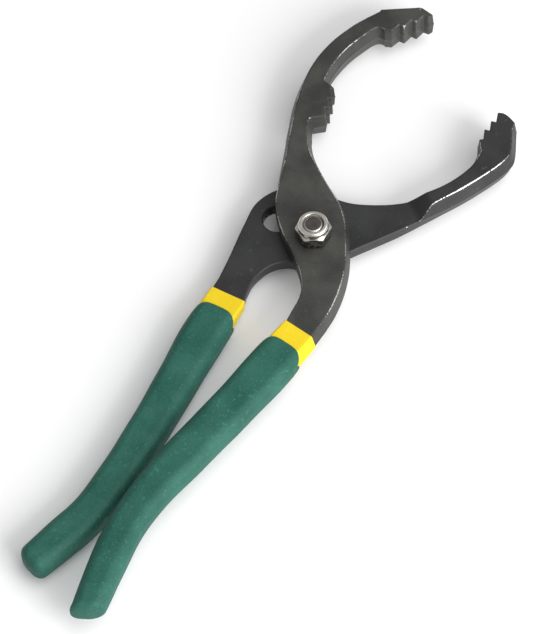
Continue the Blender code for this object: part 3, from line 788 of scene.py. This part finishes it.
def nut_rows(count=144):
    """The nut's rows, and how much painted shade and dark reflection each takes. Hexagon radius = (flats /
    2) / cos(angle from the flat's middle), up to the corners' own rounding. The chamfer meets the flats at
       height = (radius - face
    radius) * tan 30, so its curved edge is a row of the mesh."""
    a = np.linspace(0, 2 * pi, count, endpoint=False) + NUT_TURN
    from_flat = (a - NUT_TURN) % radians(60) - radians(30)
    hexagon = np.minimum(NUT_FLATS / 2 / np.cos(from_flat), NUT_CORNER)
    drop = (hexagon - NUT_FACE) * np.tan(radians(30))
    hex_top = NUT_LOW + NUT_HEX

    def row(radius, height):
        radius = radius + 0 * a
        return np.stack([radius * np.cos(a), radius * np.sin(a), height + 0 * a], axis=1)

    rows = [row(BORE, NUT_LOW + 0.6), row(BORE + 0.6, NUT_LOW), row(NUT_FACE, NUT_LOW)]
    rows += [row(hexagon - 0.06, NUT_LOW + drop - 0.03), row(hexagon, NUT_LOW + drop + 0.08)]
    rows += [row(hexagon, hex_top - drop - 0.08), row(hexagon - 0.06, hex_top - drop + 0.03)]
    rows += [row(NUT_FACE + 0.1, hex_top - 0.03), row(NUT_FACE - 0.1, hex_top)]
    profile = np.vstack([
        arc((COLLAR + 0.3, hex_top + 0.3), 0.3, 270, 180, 4),
        arc((COLLAR - COLLAR_ROUND, NUT_TOP - COLLAR_ROUND), COLLAR_ROUND, 0, 90, 9),
        arc((LIP, NUT_TOP - LIP_ROUND), LIP_ROUND, 90, 200, 5),
        [(LIP + 0.13, NUT_TOP - 0.62), (POCKET, NUT_TOP - 0.62)],
        [(POCKET, hex_top - GAP), (BORE, hex_top - GAP)],
    ])
    # Painted shade and dark reflection: darkest at the nut's foot on the arm, lighter up the flats, dark
    # again in the crease at the collar's foot and in the pocket inside its lip; none on the collar's
    # outside.
    painted_shade = [1, 1, 1, 0.95, 0.9, 0.7, 0.3, 0.2, 0.7] + 3 * [0.8] + 14 * [0] + 5 * [0.8]
    return rows + [row(r, z) for r, z in profile], painted_shade


lock_nut = skin("lock_nut_plated", *nut_rows(), [BRIGHT], closed=True, sharp=28)
belongs(lock_nut, "front", "lock_nut")

# ------------------------------------------------------------------ nylon insert
# A natural nylon ring pressed under the nut's collar. It grips the bolt's thread.

INSERT_LOW, INSERT_TOP = (corner[2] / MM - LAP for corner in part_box("nut_insert"))
INSERT_RADIUS = (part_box("nut_insert")[1][0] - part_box("nut_insert")[0][0]) / MM / 2


def nylon():
    """Natural nylon, yellowed and slightly translucent, dulled by handling."""
    look, tree, shader = new_look("nylon", Subsurface_Weight=0.15, Subsurface_Scale=0.001)
    grain = placed(tree, GRAIN, Cloud_Scale=500.0, Grit_Scale=3000.0, Relief=0.4)
    tree.links.new(mixed(tree, grain["Tone"], (0.16, 0.15, 0.13, 1), (0.3, 0.29, 0.26, 1)),
                   shader.inputs["Base Color"])
    roughened(tree, shader, 0.35, grain["Tone"], 0.2)
    bumped(tree, shader, grain["Height"], 0.00008, 0.4)
    return look


insert_profile = np.vstack([
    [(THREAD + 0.2, INSERT_LOW + 0.1), (THREAD + 0.3, INSERT_LOW), (INSERT_RADIUS, INSERT_LOW)],
    arc((INSERT_RADIUS - 0.3, INSERT_TOP - 0.6), 0.3, 0, 90, 4),
    arc((THREAD + 0.55, INSERT_TOP - 0.6), 0.35, 90, 180, 5),
])
nut_insert = skin("nut_insert_ring", [ring(r, z) for r, z in insert_profile],
                  np.zeros(len(insert_profile)), [nylon()], closed=True)
belongs(nut_insert, "front", "nut_insert")

# ------------------------------------------------------------------ yellow first dips
# Each tang is dipped in yellow vinyl before the green. The layer is thinnest at its lip, shows as a
# collar between the steel and the green, and follows the tang's leaning side.

TANG_MID = (HALF + GAP / 2) / 2         # height of the middle of the front tang; the rear's is below
TANG_HALF = TANG_MID - GAP / 2
DIP_GAP = 0.12                          # a layer stands this far off what it coats
YELLOW_WALL = 0.75                      # thickness of the yellow under the green
YELLOW_LIP = 0.3                        # and at its edge on the steel
GREEN_STARTS = 1                        # station where the green's mouth lies
TANG_ENDS = 7                           # station where the steel ends
TIP_REACH = 1.6                         # from there to where the yellow closes round the tip
HANDLE_STEPS = 24                       # path points to each span between stations


def rounded_sections(half_wide, half_thick, corner, lean):
    """Rounded rectangles, one for each entry of the arrays: (u across, v up), arcs of 13 points with
    5 between. lean is (+u side, -u side, direction): each side moves in by its amount towards the
    top where direction is 1, or the bottom where it's -1."""
    sx = np.array([1, -1, -1, 1])[:, None]
    sz = np.array([1, 1, -1, -1])[:, None]
    a = (np.arange(4)[:, None] + np.linspace(0, 1, 13)[None]) * pi / 2
    wide, thick, round_off = (value[:, None, None] for value in (half_wide, half_thick, corner))
    u = sx * (wide - round_off) + round_off * np.cos(a)
    v = sz * (thick - round_off) + round_off * np.sin(a)
    share = np.linspace(0, 1, 7)[1:-1]
    arcs = np.stack([u, v], axis=-1)
    after = np.roll(arcs[..., :1, :], -1, axis=-3)
    flats = arcs[..., -1:, :] + (after - arcs[..., -1:, :]) * share[:, None]
    ring_points = np.concatenate([arcs, flats], axis=-2)
    ring_points = ring_points.reshape(*ring_points.shape[:-3], -1, 2)
    u, v = ring_points[..., 0], ring_points[..., 1]
    share = 0.5 + 0.5 * lean[2] * v / half_thick[:, None]
    return u * (1 - np.where(u > 0, lean[0], lean[1]) * share / half_wide[:, None]), v


def handle_path(stations):
    """A handle's path, the direction across it, its margins, and the distance along it."""
    path, across, margin = handle_line(stations, HANDLE_STEPS)
    run = np.append(0, np.cumsum(np.linalg.norm(np.diff(path[:, :2], axis=0), axis=1)))
    return path, across, margin, run


def handle_surface(stations, mid, length, half_wide, half_thick, corner, lean=(0, 0, 1), flow=None):
    """Sections carried along a handle's path. length is each row's distance along the path. flow
    moves the points of a section along the path and across it, as the liquid vinyl did."""
    path, across, _, run = handle_path(stations)
    u, v = rounded_sections(half_wide, half_thick, corner, lean)
    along = length[:, None] + 0 * u
    if flow is not None:
        along, u = flow(u, half_wide[:, None], along)
    over = np.maximum(along - run[-1], 0)
    sides = np.stack([np.interp(along, run, across[:, k]) for k in (0, 1)], axis=-1)
    centre = np.stack([np.interp(along, run, path[:, k]) for k in (0, 1)], axis=-1)
    onward = np.stack([sides[..., 1], -sides[..., 0]], axis=-1)
    xy = centre + sides * u[..., None] + onward * over[..., None]
    return np.concatenate([xy, (mid + v)[..., None]], axis=-1)


def vinyl_skin(name, deep, light, relief, spotted):
    """Soft dipped vinyl: matte, clouded, with fine orange-peel and tiny bubbles."""
    look, tree, shader = new_look(name, Specular_IOR_Level=0.22)
    grain = placed(tree, GRAIN, Cloud_Scale=55.0, Grit_Scale=1500.0, Relief=relief)
    spots = remap(tree, noise(tree, 700.0, 1.0, 0.4), 0.66, 0.72)
    base = mixed(tree, grain["Tone"], deep, light)
    pale = tuple(min(1.0, c * 1.7) for c in light)
    base = mixed(tree, maths(tree, "MULTIPLY", spots, spotted), base, pale)
    tree.links.new(base, shader.inputs["Base Color"])
    roughened(tree, shader, 0.5, grain["Tone"], 0.16)
    bumped(tree, shader, grain["Height"], 0.00028, 0.6)
    return look


def yellow_dip(name, stations, mid, lean, look):
    """A thin cup: outer surface from its closed end to the collar's lip, then the inside back. Its
    wall thickens from the lip to where the green covers it."""
    path, _, margin, run = handle_path(stations)
    width = path[:, 2]
    end = run[TANG_ENDS * HANDLE_STEPS] + TIP_REACH
    quarter = np.radians(np.linspace(0, 90, 6))
    lip = YELLOW_LIP / 2
    body = np.linspace(end, 0.6, 90)
    thickening = YELLOW_LIP + (YELLOW_WALL - YELLOW_LIP) * np.clip(body / 8, 0, 1)
    outer = np.concatenate([[end + 0.9, end + 0.6], body, lip * (1 - np.sin(quarter))])
    wall = np.concatenate([[-1.4, -0.4], thickening, YELLOW_LIP - lip * (1 - np.cos(quarter))])
    inner = np.concatenate([lip * (1 - np.cos(quarter)), np.linspace(1.0, end - 0.8, 60)])
    inside_wall = np.concatenate([lip * (1 - np.sin(quarter)), np.zeros(60)])
    length = np.concatenate([outer, inner])
    beyond = np.concatenate([wall, inside_wall]) + DIP_GAP
    steel = np.interp(length, run, width / 2 - margin)
    corner = np.clip(beyond + 0.3, 0.2, 1.2)
    rows = handle_surface(stations, mid, length, steel + beyond, TANG_HALF + beyond, corner, lean)
    return skin(name, rows, np.zeros(len(length)), [look])


YELLOW = vinyl_skin("yellow_vinyl", (0.68, 0.49, 0.010, 1), (0.74, 0.55, 0.016, 1), 0.25, 0.08)
rear_collar = yellow_dip("rear_grip_collar", REAR_GRIP, -TANG_MID, (CROTCH_DRAFT, DRAFT / 2, -1), YELLOW)
front_collar = yellow_dip("front_grip_collar", FRONT_GRIP, TANG_MID, (DRAFT, CROTCH_DRAFT, 1), YELLOW)
belongs(rear_collar, "rear", "rear_grip_underlayer")
belongs(front_collar, "front", "front_grip_underlayer")

# ------------------------------------------------------------------ green grips
# The second, thicker dip in soft green vinyl. Its mouth curves back round the handle's sides where
# the liquid left it, and the last of the liquid sets as a blunt point off to one side of the end.

GRIP_HALF = (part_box("front_grip")[1][2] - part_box("front_grip")[0][2]) / MM / 2
GRIP_CORNER = 4.6                       # corner radius of the grip's section
MOUTH_DIP = 4.6                         # how far the mouth falls back at the sides
MOUTH_FADE = 22                         # and how far along the grip that carries
NOSE = 4.6                              # length of the rounded end
SLANT_REACH = 8                         # the end starts to slant that far before it
END_DRIFT = 1.4                         # how far off centre an end closes for each mm of its slant
MOUTH_LIP = 0.9                         # length of the mouth's rounded lip
MOUTH_ROLL = 0.55                       # how far its sides roll in
MOUTH_THIN = (0.35, 0.9)                # how much thinner it is at its sides and faces


def green_dip(name, stations, mid, slant, look):
    """A thick cup, its end longer by slant on the +X side and shorter on the other: outer surface
    from its closed end to the mouth's lip, then the inside back. The end's half sizes shrink as a
    quarter superellipse, and two slow waves swell the sides."""
    path, _, margin, run = handle_path(stations)
    width = path[:, 2]
    mouth = run[GREEN_STARTS * HANDLE_STEPS]
    tang_end = run[TANG_ENDS * HANDLE_STEPS]
    quarter = np.radians(np.linspace(0, 90, 7))
    close = np.linspace(0, 1, 26)[1:] ** 1.5
    nose_scale = (1 - (1 - close) ** 2.5) ** (1 / 2.5)
    nose_length = run[-1] + NOSE * (1 - close)
    body_length = np.linspace(run[-1], mouth + 1.0, 170)[1:]
    lip_length = mouth + MOUTH_LIP * (1 - np.sin(quarter))
    length = np.concatenate([nose_length, body_length, lip_length])
    shrink = np.concatenate([nose_scale, np.ones(len(body_length) + len(quarter))])
    half = np.interp(length, run, width / 2) * shrink
    thick = GRIP_HALF * shrink
    corner = GRIP_CORNER * shrink
    roll = MOUTH_ROLL * (1 - np.cos(quarter))
    half[-len(quarter):] -= roll
    thick[-len(quarter):] -= roll * 1.6
    swell = 0.10 * np.sin(length / 9.0) + 0.06 * np.sin(length / 3.7 + 1.0)
    thinning = np.exp((mouth - length) / 2.5)
    half += (swell - MOUTH_THIN[0] * thinning) * (shrink == 1)
    thick -= MOUTH_THIN[1] * thinning

    inner_length = np.concatenate([[mouth + 0.1], np.linspace(mouth + 0.8, tang_end + 3.4, 60)])
    clear = 2 * DIP_GAP + YELLOW_WALL + 0.05
    inner_half = np.interp(inner_length, run, width / 2 - margin) + clear
    inner_thick = np.full(len(inner_length), TANG_HALF + clear)
    inner_corner = np.full(len(inner_length), 1.3)
    length = np.concatenate([length, inner_length])
    half = np.concatenate([half, inner_half])
    thick = np.concatenate([thick, inner_thick])
    corner = np.minimum(np.concatenate([corner, inner_corner]), 0.92 * np.minimum(half, thick))

    def flow(u, half_wide, along):
        """The mouth falls back as 1 - sqrt(1 - |across|^3.5) towards the sides, fading over
        MOUTH_FADE. The end slants with u and closes off centre."""
        across = np.minimum(abs(u / half_wide), 1)
        side = 1 - np.sqrt(np.maximum(1 - across ** 3.5, 0))
        fall = MOUTH_DIP * side * np.clip(1 - (along - mouth) / MOUTH_FADE, 0, 1) ** 1.6
        into_end = np.clip((along - run[-1]) / NOSE, 0, 1)
        near_end = np.clip((along - run[-1] + SLANT_REACH) / SLANT_REACH, 0, 1)
        longer = slant * near_end * u / (width[-1] / 2)
        return along + fall + longer, u + slant * END_DRIFT * into_end ** 2

    rows = handle_surface(stations, mid, length, half, thick, corner, flow=flow)
    return skin(name, rows, np.zeros(len(length)), [look])


GREEN = vinyl_skin("green_vinyl", (0.009, 0.070, 0.050, 1), (0.028, 0.122, 0.090, 1), 0.8, 0.35)
rear_grip = green_dip("rear_grip_dip", REAR_GRIP, -TANG_MID, 0.35, GREEN)
front_grip = green_dip("front_grip_dip", FRONT_GRIP, TANG_MID, -1.6, GREEN)
belongs(rear_grip, "rear", "rear_grip")
belongs(front_grip, "front", "front_grip")

# ------------------------------------------------------------------ table, light and camera
# A plain white table, a wide overhead softbox with a lower one from the handle side, and a long
# lens looking down on the tool as it lies.

TABLE_HALF = 3.0
table_mesh = bpy.data.meshes.new("table")
table_corners = [(x, y, cad_box[0][2]) for x, y in ((-1, -1), (1, -1), (1, 1), (-1, 1))]
table_mesh.from_pydata(table_corners, [], [(0, 1, 2, 3)])
table_mesh.transform(Matrix.Diagonal((TABLE_HALF, TABLE_HALF, 1, 1)))
table = bpy.data.objects.new("table", table_mesh)
bpy.context.scene.collection.objects.link(table)
WHITE = (0.86, 0.86, 0.865, 1)
paper, _, _ = new_look("white_paper", Base_Color=WHITE, Roughness=0.8, Specular_IOR_Level=0.1)
table_mesh.materials.append(paper)

world = bpy.data.worlds.new("studio")
world.use_nodes = True
background = world.node_tree.nodes["Background"]
background.inputs["Color"].default_value = (1.0, 1.0, 1.0, 1)
background.inputs["Strength"].default_value = 0.45
bpy.context.scene.world = world
bpy.context.scene.view_settings.view_transform = "Standard"


def facing(azimuth, elevation, roll=0.0):
    """Rotation of something that looks at the pivot from that direction: its Z axis points back."""
    a, e, r = radians(azimuth), radians(elevation), radians(roll)
    back = Vector((sin(a) * cos(e), -cos(a) * cos(e), sin(e)))
    right = Vector((cos(a), sin(a), 0))
    up = back.cross(right)
    turned_right = right * cos(r) + up * sin(r)
    turned_up = up * cos(r) - right * sin(r)
    return Matrix((turned_right, turned_up, back)).transposed()


def softbox(name, azimuth, elevation, distance, size, power):
    """A square area light that looks at the middle of the tool."""
    light = bpy.data.lights.new(name, "AREA")
    light.size = size
    light.energy = power
    lamp = bpy.data.objects.new(name, light)
    turn = facing(azimuth, elevation)
    lamp.matrix_world = Matrix.Translation(turn.col[2] * distance) @ turn.to_4x4()
    bpy.context.scene.collection.objects.link(lamp)


softbox("overhead_softbox", azimuth=115, elevation=66, distance=1.4, size=1.2, power=9.5)
softbox("handle_side_softbox", azimuth=75, elevation=28, distance=1.3, size=0.9, power=22.0)

CAMERA_AZIMUTH = 34.0
CAMERA_ELEVATION = 58.0
CAMERA_ROLL = -4.0
CAMERA_DISTANCE = 1.2823
AIM = Vector((0.0041, -0.0377, LAP * MM))
lens = bpy.data.cameras.new("camera")
lens.lens = 184.5
camera = bpy.data.objects.new("camera", lens)
view = facing(CAMERA_AZIMUTH, CAMERA_ELEVATION, CAMERA_ROLL)
camera.matrix_world = Matrix.Translation(AIM + view.col[2] * CAMERA_DISTANCE) @ view.to_4x4()
bpy.context.scene.collection.objects.link(camera)
bpy.context.scene.camera = camera
